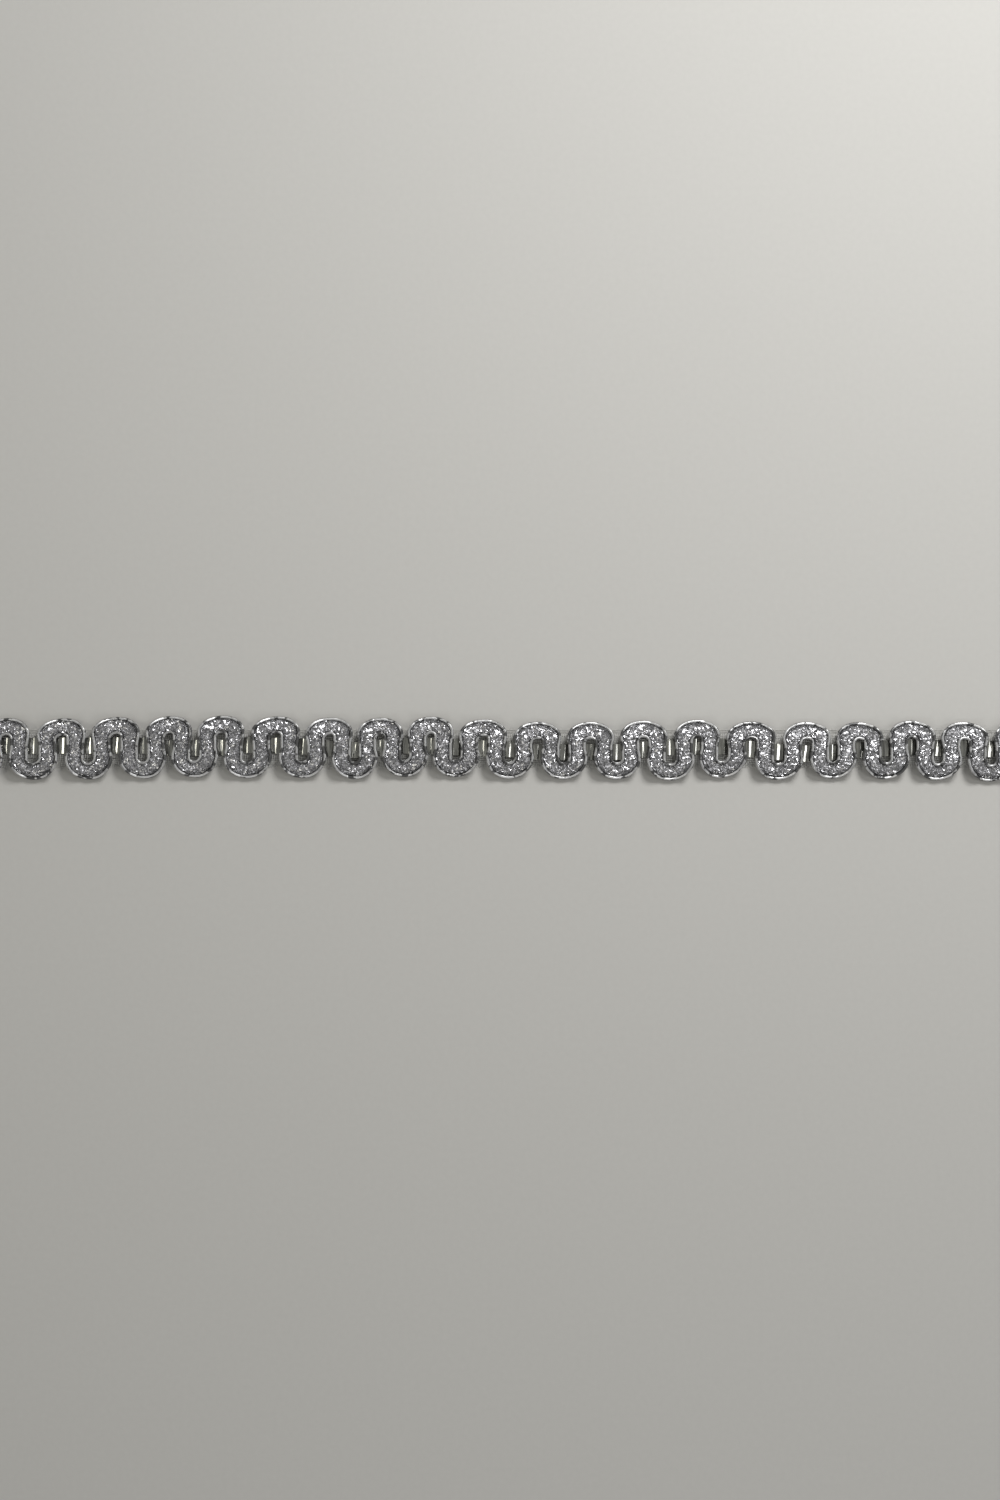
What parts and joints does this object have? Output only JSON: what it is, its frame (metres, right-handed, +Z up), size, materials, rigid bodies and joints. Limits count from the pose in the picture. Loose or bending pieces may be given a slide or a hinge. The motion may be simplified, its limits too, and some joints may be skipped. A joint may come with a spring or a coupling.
{
  "type": "metallic scroll trim",
  "caption": "Cut length of silver scroll trim: a crowned serpentine braid with a cord on each edge, laid over a flat foil strip.",
  "frame": {"origin": "middle of the trim's length and width, on the surface that it lies on", "axes": "+X along the trim, +Y across it towards the upper loops in the picture, +Z up out of its face"},
  "size_m": [0.2166, 0.0132, 0.0024],
  "materials": {
    "braid": "crinkled silver film yarn, glittering",
    "edge_cord": "thin cord wrapped in bright silver foil",
    "foil": "flat mirror-like silver film"
  },
  "bodies": {
    "root": {"braid": "braid", "edge_cord_one": "edge_cord", "edge_cord_two": "edge_cord", "foil_strip": "foil"}
  },
  "joints": []
}
